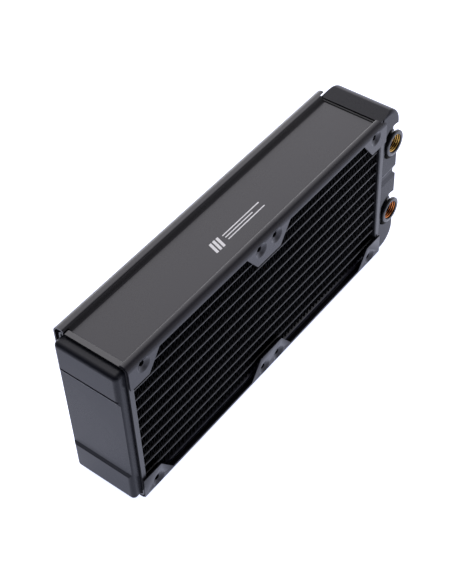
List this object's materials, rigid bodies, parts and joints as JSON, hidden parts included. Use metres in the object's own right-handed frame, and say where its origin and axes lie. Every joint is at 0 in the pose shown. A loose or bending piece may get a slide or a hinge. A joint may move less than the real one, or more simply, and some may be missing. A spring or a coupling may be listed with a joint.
{
  "type": "liquid cooling radiator",
  "caption": "Thick liquid cooling radiator: finned flat-tube core in folded side rails with dimpled fan tabs, a plain return tank and a stepped port tank with threaded collars.",
  "frame": {"origin": "centre of the footprint, at the underside of the lower lips", "axes": "+X along the length towards the port tank, +Y from the fan face with the ports to the opposite face, +Z across the width, up as it stands on its long narrow side"},
  "size_m": [0.279, 0.054, 0.12],
  "materials": {
    "frame_paint": "satin black powder coat",
    "tank_paint": "satin black powder coat",
    "header_paint": "satin black powder coat",
    "tube_paint": "thin black paint on brass tube",
    "fin_paint": "thin black paint on copper sheet",
    "port_brass": "turned brass with painted face"
  },
  "bodies": {
    "root": {"rail_top": "frame_paint", "rail_bottom": "frame_paint", "core_side_top": "frame_paint", "core_side_bottom": "frame_paint", "return_header": "header_paint", "port_header": "header_paint", "return_tank": "tank_paint", "port_tank": "tank_paint", "tank_baffle": "tank_paint", "port_collar_upper": "port_brass", "port_collar_lower": "port_brass", "tube_front_01": "tube_paint", "tube_front_02": "tube_paint", "tube_front_03": "tube_paint", "tube_front_04": "tube_paint", "tube_front_05": "tube_paint", "tube_front_06": "tube_paint", "tube_front_07": "tube_paint", "tube_front_08": "tube_paint", "tube_front_09": "tube_paint", "tube_front_10": "tube_paint", "tube_front_11": "tube_paint", "tube_back_01": "tube_paint", "tube_back_02": "tube_paint", "tube_back_03": "tube_paint", "tube_back_04": "tube_paint", "tube_back_05": "tube_paint", "tube_back_06": "tube_paint", "tube_back_07": "tube_paint", "tube_back_08": "tube_paint", "tube_back_09": "tube_paint", "tube_back_10": "tube_paint", "tube_back_11": "tube_paint", "fin_01": "fin_paint", "fin_02": "fin_paint", "fin_03": "fin_paint", "fin_04": "fin_paint", "fin_05": "fin_paint", "fin_06": "fin_paint", "fin_07": "fin_paint", "fin_08": "fin_paint", "fin_09": "fin_paint", "fin_10": "fin_paint", "fin_11": "fin_paint", "fin_12": "fin_paint"}
  },
  "joints": []
}
